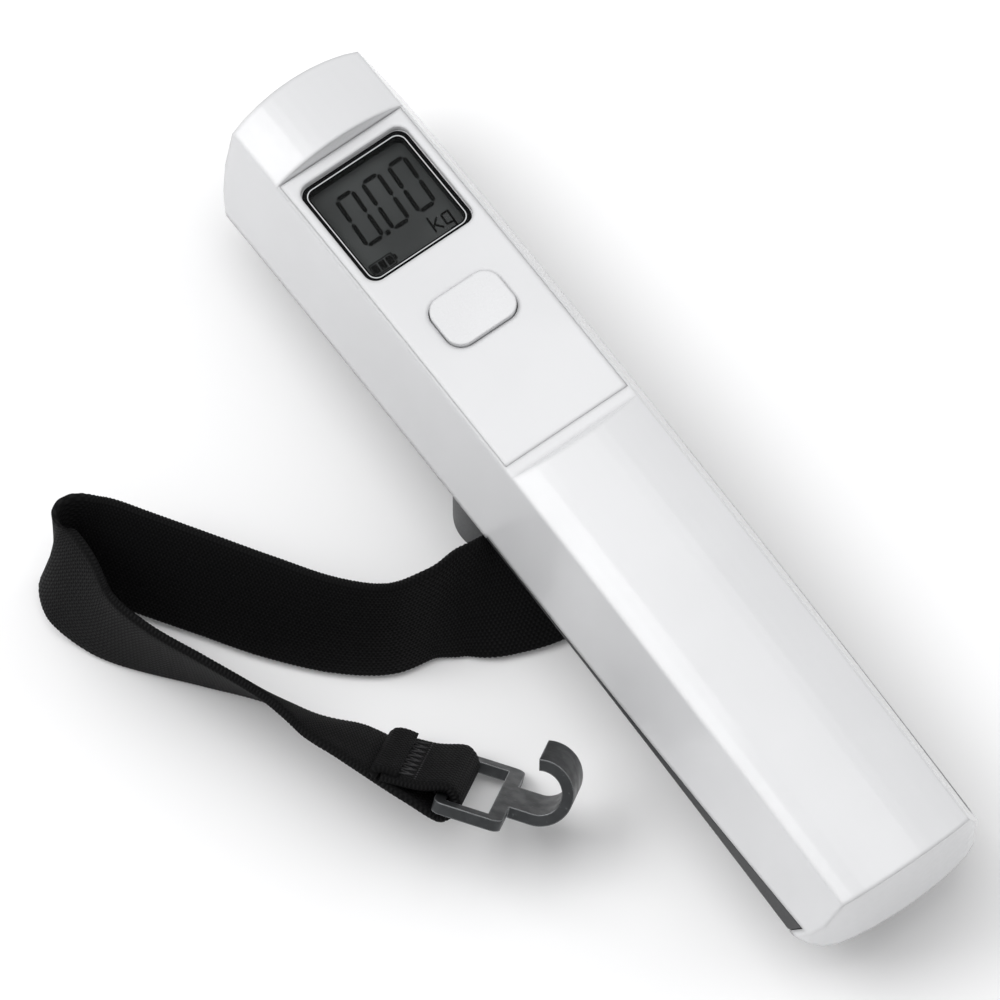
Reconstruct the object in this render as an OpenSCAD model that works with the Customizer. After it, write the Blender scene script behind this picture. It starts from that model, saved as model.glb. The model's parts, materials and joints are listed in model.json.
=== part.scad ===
/* [Body] */
// Length of the body from end to end
body_len = 158; // [140:1:190]
// Width of the body at its back edge
body_w = 33.5; // [32:0.5:40]
// Height of the side walls up to the ridge
side_h = 15.5; // [13:0.25:18]
// How far the ridge lies in from the back edge
ridge_in = 5; // [3.5:0.1:5.5]
// Rise of the rounded front above the ridges
crown_h = 2.6; // [1.8:0.1:4]
// Rise of the arched body at mid-length
arch_rise = 3.4; // [1.5:0.1:5]
// Bulge of the two ends in plan
end_bulge = 2.2; // [1:0.1:4]
// Wall thickness of the two casing halves
wall = 1.8; // [1.4:0.1:2]
// Height of the back cover's side walls at the grip end
cover_side = 3.5; // [3:0.25:6]

/* [Display] */
// Centre of the display from mid-length
lcd_y = 53; // [51:0.5:53]
// Width of the display window
lcd_w = 19.6; // [16:0.2:19.6]
// Length of the display window
lcd_l = 20; // [16:0.2:20]
// Length of the flat facet that carries the display and the button
facet_len = 58.5; // [56:0.5:60]
// Thickness of the face panel
panel_t = 1.2; // [1:0.1:1.5]

/* [Button] */
// Centre of the button from mid-length
btn_y = 31; // [29:0.5:33]
// Width of the button cap
btn_w = 12.4; // [10:0.2:14]
// Length of the button cap
btn_l = 9; // [7:0.2:10]
// Height of the button cap above the facet
btn_proud = 0.8; // [0.6:0.1:1.2]
// Travel of the button
btn_travel = 0.4; // [0.2:0.05:0.5]

/* [Strap and hook] */
// Centre of the strap collar from mid-length
collar_y = 13; // [11:0.5:15]
// Depth of the strap collar below the body
collar_h = 16; // [14:0.5:20]
// Width of the strap collar along the body
collar_d = 13.6; // [12.6:0.2:15]
// Width of the webbing
strap_w = 20; // [18:0.5:20]
// Thickness of the webbing
strap_t = 1.6; // [1.2:0.1:1.8]
// Thickness of the hook plate
hook_t = 1.8; // [1.5:0.1:2.2]
// Inner radius of the hook's bowl
hook_r = 3.5; // [3:0.1:5]
// Width of the hook's curled tongue
tongue_w = 9.5; // [8:0.5:12]

/* [Hidden] */

$fn = 64;
arch_fn = 720;
eps = 0.01;
gap = 0.1;
half_l = body_len / 2;
half_w = body_w / 2;
arch_r = (half_l * half_l + arch_rise * arch_rise) / (2 * arch_rise);
slope = ridge_in / side_h;
ridge_x = half_w - ridge_in;
ceiling_t = 1.6;
ceiling_z = side_h - panel_t - ceiling_t;
cover_t = 1.6;
corner_drop = 4;
facet_y1 = half_l - 13;
facet_y0 = facet_y1 - facet_len;
ramp = 2.1;
upper_ramp = 0.5;
rim = 0.45;
panel_gap = 0.05;
panel_x = ridge_x - rim;
end_wall = 1.5;
split_y = 5;
lip = 0.4;
plan_slack = 0.06;

// Internal stack, as heights above the back of the arch
board_z = 5.3;
board_t = 1;
board_w = 22.4;
board_y0 = btn_y - 9;
board_y1 = lcd_y + 10.5;
board_mid = (board_y0 + board_y1) / 2;
board_screw_y = board_y0 + 2.2;
board_screw_x = 8.6;
board_sag = 0.28;
cell_dia = 20;
cell_t = 3.2;
cell_y = board_mid;
battery_door_d = 22.6;
glass_t = 1.8;
glass_z = ceiling_z - glass_t - 0.1;
lens_t = 1;
btn_flange = 0.8;
stack_z = board_z + board_t + 0.3;
switch_h = 2.2;
switch_top = board_z + board_t + switch_h;
btn_low = ceiling_z - gap - btn_flange;
plunger_r = 1.6;
plunger_in = 1;

// Load train
beam_w = 12.7;
beam_t = 5;
beam_len = 62;
beam_z = collar_h + 3.9;
beam_y1 = collar_y + 6;
beam_y0 = beam_y1 - beam_len;
yoke_t = 1.5;
pin_r = 1.6;
pin_z = 8.6;
cheek_x = strap_w / 2 + 0.8;
yoke_top = beam_z - 0.05;
wire_r = 0.3;

mouth_w = 2 * (cheek_x + yoke_t) + 1.8;
mouth_d = collar_d - 3.6;
notch_h = 12;
loop_r = pin_r + 0.15 + strap_t / 2;
bar_loop_r = 1.6 + strap_t / 2;
seam_len = 9.5;

// Strap route: [middle of the webbing, direction towards its upper edge]
ROUTE = [[[0, 10.3, 5], [-1, 0, 0]],
         [[0.1, 8, 2.4], [-1, 0, 0]],
         [[-0.2, 4.6, 2.6], [-0.98, 0.05, 0.16]],
         [[-1.2, 1, 4.2], [-0.88, 0.15, 0.42]],
         [[-4, -2, 6.4], [-0.58, 0.48, 0.6]],
         [[-8.8, -3.3, 7.6], [-0.14, 0.7, 0.68]],
         [[-13.8, -2.6, 7.8], [0.1, 0.7, 0.68]],
         [[-18.8, -0.5, 7.7], [0.16, 0.7, 0.66]],
         [[-23.8, 1.2, 8.8], [0.03, 0.5, 0.86]],
         [[-29, 2, 9.9], [0.08, 0.3, 0.95]],
         [[-36, 3.8, 10.1], [0.15, 0.3, 0.94]],
         [[-42.5, 9.5, 9.9], [0.22, 0.33, 0.92]],
         [[-48.5, 17.5, 9.8], [0.3, 0.34, 0.89]],
         [[-54, 26, 9.7], [0.33, 0.32, 0.89]],
         [[-59.5, 34.5, 9.6], [0.38, 0.25, 0.88]],
         [[-64, 41.3, 9.8], [0.45, 0.12, 0.88]],
         [[-67.2, 44.2, 10.6], [0.3, 0.2, 0.92]],
         [[-69.9, 42.8, 10.7], [0.3, 0.05, 0.93]],
         [[-71, 37.3, 10.8], [0.36, -0.03, 0.92]],
         [[-70.5, 30.5, 10.3], [0.2, -0.1, 0.97]],
         [[-67.5, 23, 10.4], [0.05, -0.15, 0.98]],
         [[-62.5, 14.5, 10.4], [-0.08, -0.22, 0.97]],
         [[-57.5, 6, 10.2], [-0.2, -0.3, 0.93]],
         [[-54.4, -1.4, 10.3], [-0.3, -0.36, 0.88]],
         [[-51.2, -8.2, 11], [-0.42, -0.42, 0.8]]];

// Hook frame: the plate runs along hook_u, its width along hook_b
hook_at = [-43.3, -22.1, 10.9];
hook_u = [0.59, -0.8, -0.06];
hook_b = [-0.42, -0.5, 0.74];
frame_len = 10.8;
frame_w = strap_w + 5;
bar_w = 1.7;
bowl_turn = 195;

function unit(v) = v / norm(v);
function square_to(v, t) = unit(v - (v * t) * t);
function back_z(y) = collar_h + arch_r * (sqrt(1 - pow(y / arch_r, 2)) - 1);
function arc(c, r, a0, a1, n) = [for (i = [0 : n]) let (a = a0 + (a1 - a0) * i / n)
                                 [c[0] + r * cos(a), c[1] + r * sin(a)]];

// Places children at a station y along the arch, with z = 0 on its back
module on_arch(y) {
    translate([0, 0, collar_h - arch_r])
        rotate([-asin(y / arch_r), 0, 0])
            translate([0, 0, arch_r])
                children();
}

// Places children at a station y of the flat circuit board, with z = 0 on its underside
module on_board(y) {
    on_arch(board_mid)
        translate([0, y - board_mid, board_z])
            children();
}

// Sweeps a cross-section of [x, z] points round the arch's axis
module arched(points) {
    turn = 2 * asin((half_l + 6) / (arch_r - 20));
    translate([0, 0, collar_h - arch_r])
        rotate([0, -90, 0])
            rotate([0, 0, -turn / 2])
                rotate_extrude(angle = turn, $fn = arch_fn)
                    polygon([for (p = points) [arch_r + p[1], p[0]]]);
}

// Plan outline of the body, set in by d, extruded over its whole height
module plan(d, set_back = 0) {
    w = half_w - d + plan_slack;
    n = 16;
    ends = [for (i = [0 : n]) let (t = sin(90 * (2 * i / n - 1)))
            [w * t, half_l - d - set_back - end_bulge * t * t - corner_drop * pow(abs(t), 10)]];
    linear_extrude(height = 60)
        polygon(concat(ends, -ends));
}

// Front arc of a cross-section between two ridges at half-width x and height z
function crown(x, z, h) = let (r = (x * x + h * h) / (2 * h), a = asin(x / r))
                          arc([0, z + h - r], r, 90 - a, 90 + a, 12);

module solid_body(d) {
    x = half_w - d;
    top = side_h - d;
    below = d > 0 ? 3 : 0;
    points = concat([[-x - slope * below, -below], [x + slope * below, -below]],
                    crown(x - slope * top, top, crown_h));
    intersection() {
        arched(points);
        plan(d);
    }
}

// Everything above height z between two stations, with sloping ends
module facet_cut(z, y0, y1, x, run, upper_run) {
    intersection() {
        arched([[-x, z], [x, z], [x, side_h + 8], [-x, side_h + 8]]);
        rotate([90, 0, 90])
            linear_extrude(height = 60, center = true)
                polygon([[y0 - 10 * run / crown_h, collar_h + z + 10], [y0, collar_h + z - arch_rise],
                         [y1, collar_h + z - arch_rise], [y1 + 10 * upper_run / crown_h, collar_h + z + 10]]);
    }
}

// Rounded bar standing on z = 0
module rounded(w, l, h, r) {
    linear_extrude(height = h)
        union() {
            square([w - 2 * r, l], center = true);
            square([w, l - 2 * r], center = true);
            for (sx = [-1, 1])
                for (sy = [-1, 1])
                    translate([sx * (w / 2 - r), sy * (l / 2 - r)])
                        circle(r);
        }
}

// Stadium across the body, standing on z = 0
module stadium(w, d, h) {
    linear_extrude(height = h)
        union() {
            square([w - d, d], center = true);
            for (s = [-1, 1])
                translate([s * (w - d) / 2, 0])
                    circle(d / 2);
        }
}

// Region below the sloping parting line of the grip half, grown by room on every side
module parting(room) {
    y0 = -half_l;
    y1 = split_y + room;
    intersection() {
        rotate([90, 0, 90])
            linear_extrude(height = 80, center = true)
                polygon([[y1, -5], [y1, back_z(split_y) + lip + room], [y0, back_z(y0) + cover_side + room],
                         [y0, -5]]);
        plan(-room, end_wall);
    }
}

case_screw_at = [[8.2, half_l - 5.6], [-8.2, half_l - 5.6], [8.2, -half_l + 8], [-8.2, -half_l + 8]];
screw_r = 1;
post_r = 2.2;

module case_posts(r, z0, z1) {
    for (p = case_screw_at)
        on_arch(p[1])
            translate([p[0], 0, z0])
                cylinder(r = r, h = z1 - z0);
}

cell_screw_y = [beam_y0 + 4, beam_y0 + 11];

module cell_posts(r, z0, z1) {
    for (y = cell_screw_y)
        translate([0, y, z0])
            cylinder(r = r, h = z1 - z0);
}

module board_posts(r, z0, z1 = 8) {
    for (s = [-1, 1])
        on_board(board_screw_y)
            translate([s * board_screw_x, 0, z0])
                cylinder(r = r, h = z1 - z0);
}

module top_housing() {
    color([0.93, 0.93, 0.94])
        difference() {
            union() {
                difference() {
                    solid_body(0);
                    intersection() {
                        solid_body(wall);
                        union() {
                            arched([[-half_w, -4], [half_w, -4], [half_w, ceiling_z], [-half_w, ceiling_z]]);
                            translate([-half_w, -half_l, 0])
                                cube([body_w, half_l + facet_y0 - ramp - wall, 60]);
                            translate([-half_w, facet_y1 + upper_ramp + wall, 0])
                                cube([body_w, half_l, 60]);
                        }
                    }
                }
                intersection() {
                    union() {
                        case_posts(post_r, cover_t + gap, side_h + crown_h);
                        cell_posts(3.2, beam_z + beam_t + 0.05, 60);
                        board_posts(1.9, board_t + 0.02);
                    }
                    solid_body(wall / 2);
                }
            }
            facet_cut(side_h, facet_y0, facet_y1, body_w, ramp, upper_ramp);
            facet_cut(side_h - panel_t, facet_y0, facet_y1, panel_x + panel_gap, eps, eps);
            parting(gap);
            on_arch(lcd_y)
                translate([0, 0, ceiling_z - 1])
                    rounded(lcd_w - 2, lcd_l - 2, 5, 1.5);
            on_arch(btn_y)
                translate([0, 0, ceiling_z - 1])
                    rounded(btn_w + 0.3, btn_l + 0.3, 5, 2.8);
            case_posts(screw_r, 0, 6.5);
            cell_posts(1.5, beam_z, beam_z + beam_t + 4);
            board_posts(0.8, board_t - 1, 4);
        }
}

module face_panel() {
    color([0.95, 0.95, 0.96])
        difference() {
            facet_cut_slab();
            on_arch(lcd_y)
                translate([0, 0, ceiling_z])
                    rounded(lcd_w + 0.2, lcd_l + 0.2, 6, 2.1);
            on_arch(btn_y)
                translate([0, 0, ceiling_z])
                    rounded(btn_w + 0.3, btn_l + 0.3, 6, 2.8);
        }
}

module facet_cut_slab() {
    intersection() {
        arched([[-panel_x, side_h - panel_t], [panel_x, side_h - panel_t], [panel_x, side_h], [-panel_x, side_h]]);
        translate([-body_w, facet_y0 + panel_gap, 0])
            cube([2 * body_w, facet_len - 2 * panel_gap, 80]);
    }
}

module lcd_lens() {
    color([0.75, 0.8, 0.8, 0.4])
        on_arch(lcd_y)
            translate([0, 0, ceiling_z + ceiling_t])
                rounded(lcd_w, lcd_l, lens_t, 2);
}

module lcd_glass() {
    color([0.27, 0.28, 0.28])
        on_arch(lcd_y)
            translate([0, 0, glass_z + glass_t / 2])
                cube([lcd_w, lcd_l, glass_t], center = true);
}

module lcd_frame() {
    color([0.85, 0.85, 0.82])
        on_arch(lcd_y)
            translate([0, 0, stack_z])
                difference() {
                    translate([-(lcd_w + 1.2) / 2, -(lcd_l + 1.2) / 2, 0])
                        cube([lcd_w + 1.2, lcd_l + 1.2, ceiling_z - stack_z - 0.12]);
                    translate([-(lcd_w + 0.2) / 2, -(lcd_l + 0.2) / 2, 1.5])
                        cube([lcd_w + 0.2, lcd_l + 0.2, 9]);
                    for (s = [-1, 1])
                        translate([-lcd_w / 2, s * (lcd_l / 2 - 1.6) - 1, -1])
                            cube([lcd_w, 2, 9]);
                }
}

module contact_strips() {
    color([0.85, 0.45, 0.6])
        on_arch(lcd_y)
            for (s = [-1, 1])
                translate([-lcd_w / 2 + 0.4, s * (lcd_l / 2 - 1.6) - 0.9, stack_z])
                    cube([lcd_w - 0.8, 1.8, glass_z - stack_z]);
}

module mode_button() {
    color([0.94, 0.94, 0.95])
        on_arch(btn_y) {
            translate([0, 0, btn_low + btn_flange - eps])
                rounded(btn_w, btn_l, side_h + btn_proud - btn_low - btn_flange + eps, 2.7);
            translate([0, 0, btn_low])
                rounded(btn_w + 2, btn_l + 2, btn_flange, 3);
        }
}

module switch_plunger() {
    color([0.15, 0.15, 0.16])
        on_arch(btn_y)
            translate([0, 0, switch_top - plunger_in])
                cylinder(r = plunger_r, h = btn_low - switch_top + plunger_in);
}

module tact_switch() {
    color([0.6, 0.6, 0.62])
        on_board(btn_y)
            difference() {
                translate([-3, -3, board_t])
                    cube([6, 6, switch_h]);
                translate([0, 0, board_t + switch_h - plunger_in - btn_travel - 0.2])
                    cylinder(r = plunger_r + 0.15, h = 3);
            }
}

module main_board() {
    color([0.1, 0.4, 0.25])
        difference() {
            on_board(board_mid)
                translate([-board_w / 2, -(board_y1 - board_y0) / 2, 0])
                    cube([board_w, board_y1 - board_y0, board_t]);
            for (s = [-1, 1])
                on_board(board_screw_y)
                    translate([s * board_screw_x, 0, -1])
                        cylinder(r = 0.85, h = 4);
        }
}

module chip_seal() {
    color([0.06, 0.06, 0.07])
        on_board(btn_y)
            translate([-7, 0, board_t])
                cylinder(r1 = 2.8, r2 = 2, h = 1.2);
}

module board_screws() {
    color([0.7, 0.7, 0.72])
        for (s = [-1, 1])
            on_board(board_screw_y)
                translate([s * board_screw_x, 0, 0]) {
                    translate([0, 0, -1])
                        cylinder(r = 1.5, h = 1);
                    translate([0, 0, -eps])
                        cylinder(r = 0.8, h = 4);
                }
}

module coin_cell() {
    color([0.75, 0.76, 0.78])
        on_arch(cell_y)
            translate([0, 0, cover_t + 0.15]) {
                cylinder(d = cell_dia - 3, h = cell_t);
                translate([0, 0, 0.3])
                    cylinder(d = cell_dia, h = cell_t - 0.6);
            }
}

module battery_clip() {
    color([0.8, 0.75, 0.5])
        on_arch(cell_y)
            for (s = [-1, 1])
                translate([s * (cell_dia / 2 + 0.35) - 0.2, -3, cover_t + 0.6])
                    cube([0.4, 6, board_z - cover_t - 0.6]);
}

module battery_tab() {
    color([0.8, 0.75, 0.5])
        on_arch(cell_y)
            translate([-2, -4, cover_t + 0.15 + cell_t])
                cube([4, 8, board_z - cover_t - 0.15 - cell_t]);
}

module battery_cover() {
    color([0.2, 0.21, 0.22])
        on_arch(cell_y)
            difference() {
                union() {
                    cylinder(d = battery_door_d, h = 1.1);
                    cylinder(d = battery_door_d - 2.2, h = cover_t);
                }
                translate([-4.5, -0.9, -1])
                    cube([9, 1.8, 1.7]);
            }
}

module back_cover() {
    inner = half_w - wall - gap;
    color([0.22, 0.23, 0.24])
        difference() {
            union() {
                intersection() {
                    arched([[-inner, 0], [inner, 0], [inner - slope * cover_t, cover_t],
                            [slope * cover_t - inner, cover_t]]);
                    plan(wall + gap);
                }
                intersection() {
                    difference() {
                        solid_body(0);
                        difference() {
                            solid_body(wall);
                            arched([[-half_w, -6], [half_w, -6], [half_w, cover_t], [-half_w, cover_t]]);
                        }
                    }
                    parting(0);
                }
            }
            on_arch(cell_y) {
                translate([0, 0, -1])
                    cylinder(d = battery_door_d + 0.2, h = 2.15);
                translate([0, 0, -1])
                    cylinder(d = battery_door_d - 2, h = 6);
            }
            translate([0, collar_y, collar_h - 3])
                rounded(mouth_w - 1.2, mouth_d - 1.2, 8, 1);
            for (p = case_screw_at)
                on_arch(p[1]) {
                    translate([p[0], 0, -1])
                        cylinder(r = screw_r + 0.2, h = 6);
                    translate([p[0], 0, -1])
                        cylinder(r = 1.9, h = 1.8);
                }
            cell_posts(3.1, collar_h - 4, collar_h + cover_t + 4);
        }
}

module case_screws() {
    color([0.6, 0.6, 0.62])
        for (p = case_screw_at)
            on_arch(p[1])
                translate([p[0], 0, 0]) {
                    difference() {
                        translate([0, 0, 0.2])
                            cylinder(r = 1.8, h = 0.6);
                        for (a = [0, 90])
                            rotate([0, 0, a])
                                translate([-1.1, -0.2, 0])
                                    cube([2.2, 0.4, 0.5]);
                    }
                    translate([0, 0, 0.8 - eps])
                        cylinder(r = screw_r, h = 5);
                }
}

module strap_collar() {
    color([0.3, 0.31, 0.32])
        difference() {
            translate([0, collar_y, 0])
                stadium(body_w - 2, collar_d, collar_h + 1);
            arched([[-half_w, -0.02], [half_w, -0.02], [half_w, 4], [-half_w, 4]]);
            translate([0, collar_y, -1])
                rounded(mouth_w, mouth_d, collar_h + 20, 3);
            translate([-12.2, collar_y - collar_d, -1])
                cube([23, collar_d - 1.5, 5.6]);
            translate([-12.2, collar_y - collar_d, -1])
                cube([9.6, collar_d - 1.5, notch_h + 1]);
        }
}

module load_cell() {
    mid = (beam_y0 + beam_y1) / 2 + 1;
    color([0.78, 0.79, 0.8])
        difference() {
            translate([-beam_w / 2, beam_y0, beam_z])
                cube([beam_w, beam_len, beam_t]);
            for (s = [-1, 1])
                translate([-beam_w, mid + s * 4.5, beam_z + beam_t / 2])
                    rotate([0, 90, 0])
                        cylinder(r = 1.9, h = 2 * beam_w);
            translate([-beam_w, mid - 4.5, beam_z + beam_t / 2 - 0.6])
                cube([2 * beam_w, 9, 1.2]);
            cell_posts(1.7, 0, 60);
            translate([0, collar_y, beam_z - 1])
                cylinder(r = 2.1, h = beam_t + 2);
        }
}

module strain_gauges() {
    mid = (beam_y0 + beam_y1) / 2 + 1;
    color([0.85, 0.6, 0.2])
        for (s = [-1, 1])
            translate([-2.2, mid + s * 4.5 - 3, beam_z + beam_t])
                cube([4.4, 6, 0.3]);
}

module cell_screws() {
    color([0.6, 0.6, 0.62])
        for (y = cell_screw_y)
            translate([0, y, 0]) {
                translate([0, 0, beam_z - 1.8])
                    cylinder(r = 2.8, h = 1.8);
                translate([0, 0, beam_z - eps])
                    cylinder(r = 1.5, h = beam_t + 3.5);
            }
}

module load_yoke() {
    foot_z = pin_z - 3.2;
    color([0.66, 0.67, 0.69])
        difference() {
            translate([0, collar_y, 0])
                union() {
                    translate([-cheek_x - yoke_t, -3.6, yoke_top - yoke_t])
                        cube([2 * (cheek_x + yoke_t), 7.2, yoke_t]);
                    for (s = [-1, 1])
                        translate([s * (cheek_x + yoke_t / 2) - yoke_t / 2, -3.6, foot_z])
                            cube([yoke_t, 7.2, yoke_top - foot_z]);
                }
            translate([-30, collar_y, pin_z])
                rotate([0, 90, 0])
                    cylinder(r = pin_r + 0.05, h = 60);
            translate([0, collar_y, 0])
                cylinder(r = 2.1, h = 60);
        }
}

module yoke_bolt() {
    color([0.6, 0.6, 0.62])
        translate([0, collar_y, 0]) {
            translate([0, 0, yoke_top - yoke_t - 2.4])
                cylinder(r = 3.4, h = 2.4);
            translate([0, 0, yoke_top - yoke_t - eps])
                cylinder(r = 2, h = beam_t + yoke_t + 0.9);
        }
}

module anchor_pin() {
    color([0.72, 0.73, 0.75])
        translate([0, collar_y, pin_z])
            rotate([0, 90, 0])
                union() {
                    cylinder(r = pin_r, h = 2 * (cheek_x + yoke_t) + 0.6, center = true);
                    for (s = [-1, 1])
                        translate([0, 0, s * (cheek_x + yoke_t + 0.35)])
                            cylinder(r = pin_r + 0.5, h = 0.6, center = true);
                }
}

module gauge_wires() {
    mid = (beam_y0 + beam_y1) / 2 + 1;
    rise = beam_z + beam_t + wire_r + 0.1;
    drop_y = board_y0 + 1;
    drop_to = back_z(drop_y) + board_z + board_t + board_sag;
    color([0.75, 0.1, 0.1])
        for (i = [0 : 3])
            translate([3 + 0.9 * i, 0, 0]) {
                translate([0, mid + 6, rise])
                    rotate([-90, 0, 0])
                        cylinder(r = wire_r, h = drop_y - mid - 6, $fn = 16);
                translate([0, drop_y, rise])
                    sphere(wire_r, $fn = 16);
                translate([0, drop_y, drop_to])
                    cylinder(r = wire_r, h = rise - drop_to, $fn = 16);
            }
}

// Smooth curve through the route's points
function spline(p0, p1, p2, p3, t) = 0.5 * (2 * p1 + (p2 - p0) * t + (2 * p0 - 5 * p1 + 4 * p2 - p3) * t * t
                                            + (3 * p1 - p0 - 3 * p2 + p3) * t * t * t);
function along(k, list, i, t) = let (n = len(list) - 1)
    spline(list[max(i - 1, 0)][k], list[i][k], list[min(i + 1, n)][k], list[min(i + 2, n)][k], t);

hook_x = unit(hook_u);
hook_z = square_to(hook_b, hook_x);
hook_y = cross(hook_z, hook_x);
function by_hook(x, y) = [hook_at + x * hook_x + y * hook_y, hook_z];

// The webbing's end wraps the anchor pin, runs out, wraps the hook's bar and is sewn to itself
PIN_LOOP = concat([[[0, collar_y - 0.7, 3.6], [-1, 0, 0]],
                   [[0, collar_y + 1.2, 5.6], [-1, 0, 0]]],
                  [for (a = [0 : 30 : 180]) [[0, collar_y + loop_r * cos(a), pin_z + loop_r * sin(a)],
                                             [-1, 0, 0]]]);
BAR_LOOP = concat([by_hook(-5.5, -strap_t / 2 - 0.1)],
                  [for (a = [-90 : 30 : 90]) by_hook(bar_loop_r * cos(a), bar_loop_r * sin(a))],
                  [by_hook(-4, strap_t / 2 + 0.5), by_hook(-seam_len, strap_t / 2 + 0.1)]);
KNOTS = concat(PIN_LOOP, ROUTE, BAR_LOOP);
per_span = 2;
RUN = concat([for (i = [0 : len(KNOTS) - 2]) for (j = [0 : per_span - 1])
              [along(0, KNOTS, i, j / per_span), along(1, KNOTS, i, j / per_span)]],
             [KNOTS[len(KNOTS) - 1]]);

function ring(i) = let (last = len(RUN) - 1,
                           t = unit(RUN[min(i + 1, last)][0] - RUN[max(i - 1, 0)][0]),
                           b = square_to(RUN[i][1], t),
                           c = cross(t, b),
                           w = strap_w / 2,
                           h = strap_t / 2,
                           e = strap_t / 3)
    [for (q = [[w, 0], [w - e, h], [0, h], [e - w, h], [-w, 0], [e - w, -h], [0, -h], [w - e, -h]])
     RUN[i][0] + q[0] * b + q[1] * c];

module strap() {
    count = len(RUN);
    m = 8;
    points = [for (i = [0 : count - 1]) each ring(i)];
    sides = [for (i = [0 : count - 2]) for (j = [0 : m - 1]) let (k = (j + 1) % m)
             each [[i * m + j, (i + 1) * m + k, i * m + k], [i * m + j, (i + 1) * m + j, (i + 1) * m + k]]];
    caps = [[for (j = [0 : m - 1]) j], [for (j = [m - 1 : -1 : 0]) (count - 1) * m + j]];
    color([0.05, 0.05, 0.06])
        polyhedron(points = points, faces = concat(sides, caps));
}

// Turns the hook's own frame into the part's frame: x along the plate, z across it
module hook_place() {
    multmatrix([[hook_x[0], hook_y[0], hook_z[0], hook_at[0]],
                [hook_x[1], hook_y[1], hook_z[1], hook_at[1]],
                [hook_x[2], hook_y[2], hook_z[2], hook_at[2]],
                [0, 0, 0, 1]])
        children();
}

module hook() {
    mid_r = hook_r + hook_t / 2;
    neck = frame_len + 2.8;
    tip = [neck - mid_r * sin(bowl_turn - 180), mid_r + mid_r * cos(bowl_turn - 180)];
    color([0.3, 0.31, 0.32])
        hook_place()
            union() {
                difference() {
                    translate([-bar_w / 2, 0, 0])
                        rotate([90, 0, 0])
                            translate([frame_len / 2, 0, 0])
                                translate([0, 0, -hook_t / 2])
                                    rounded(frame_len, frame_w, hook_t, 1.6);
                    translate([bar_w / 2, -hook_t, -(strap_w + 0.8) / 2])
                        cube([frame_len - bar_w - 2.4, 2 * hook_t, strap_w + 0.8]);
                }
                translate([frame_len - bar_w - 1, -hook_t / 2, -tongue_w / 2])
                    cube([neck - frame_len + bar_w + 1 + eps, hook_t, tongue_w]);
                translate([neck, mid_r, -tongue_w / 2])
                    rotate([0, 0, -90])
                        rotate_extrude(angle = bowl_turn)
                            translate([hook_r, 0])
                                square([hook_t, tongue_w]);
            }
}

top_housing();
face_panel();
lcd_lens();
lcd_glass();
lcd_frame();
contact_strips();
mode_button();
switch_plunger();
tact_switch();
main_board();
chip_seal();
board_screws();
coin_cell();
battery_clip();
battery_tab();
battery_cover();
back_cover();
case_screws();
strap_collar();
load_cell();
strain_gauges();
cell_screws();
load_yoke();
yoke_bolt();
anchor_pin();
gauge_wires();
strap();
hook();
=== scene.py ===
"""Looks of the digital luggage scale: shell, display, collar, webbing strap and hook."""
import json
import logging
import math
from dataclasses import dataclass, field
from enum import Enum
from typing import Any, Callable, Sequence

import bpy
import numpy as np
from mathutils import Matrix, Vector


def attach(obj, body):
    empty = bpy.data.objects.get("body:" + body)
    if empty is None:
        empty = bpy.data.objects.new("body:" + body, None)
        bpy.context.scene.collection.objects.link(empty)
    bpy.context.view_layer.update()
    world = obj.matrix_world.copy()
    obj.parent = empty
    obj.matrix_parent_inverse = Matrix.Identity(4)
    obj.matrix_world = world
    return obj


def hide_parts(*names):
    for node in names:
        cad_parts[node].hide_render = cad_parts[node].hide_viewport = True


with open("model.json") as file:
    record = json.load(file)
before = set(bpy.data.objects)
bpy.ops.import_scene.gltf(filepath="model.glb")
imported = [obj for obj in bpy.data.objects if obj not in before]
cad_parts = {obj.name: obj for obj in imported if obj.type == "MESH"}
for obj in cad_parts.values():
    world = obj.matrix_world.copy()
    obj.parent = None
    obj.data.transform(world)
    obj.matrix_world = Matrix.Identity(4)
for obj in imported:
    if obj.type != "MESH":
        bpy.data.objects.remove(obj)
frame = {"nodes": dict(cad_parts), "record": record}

log = logging.getLogger("scale")
MM = 0.001
Colour = tuple[float, float, float]


# ---------------------------------------------------------------- shader sums


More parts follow.
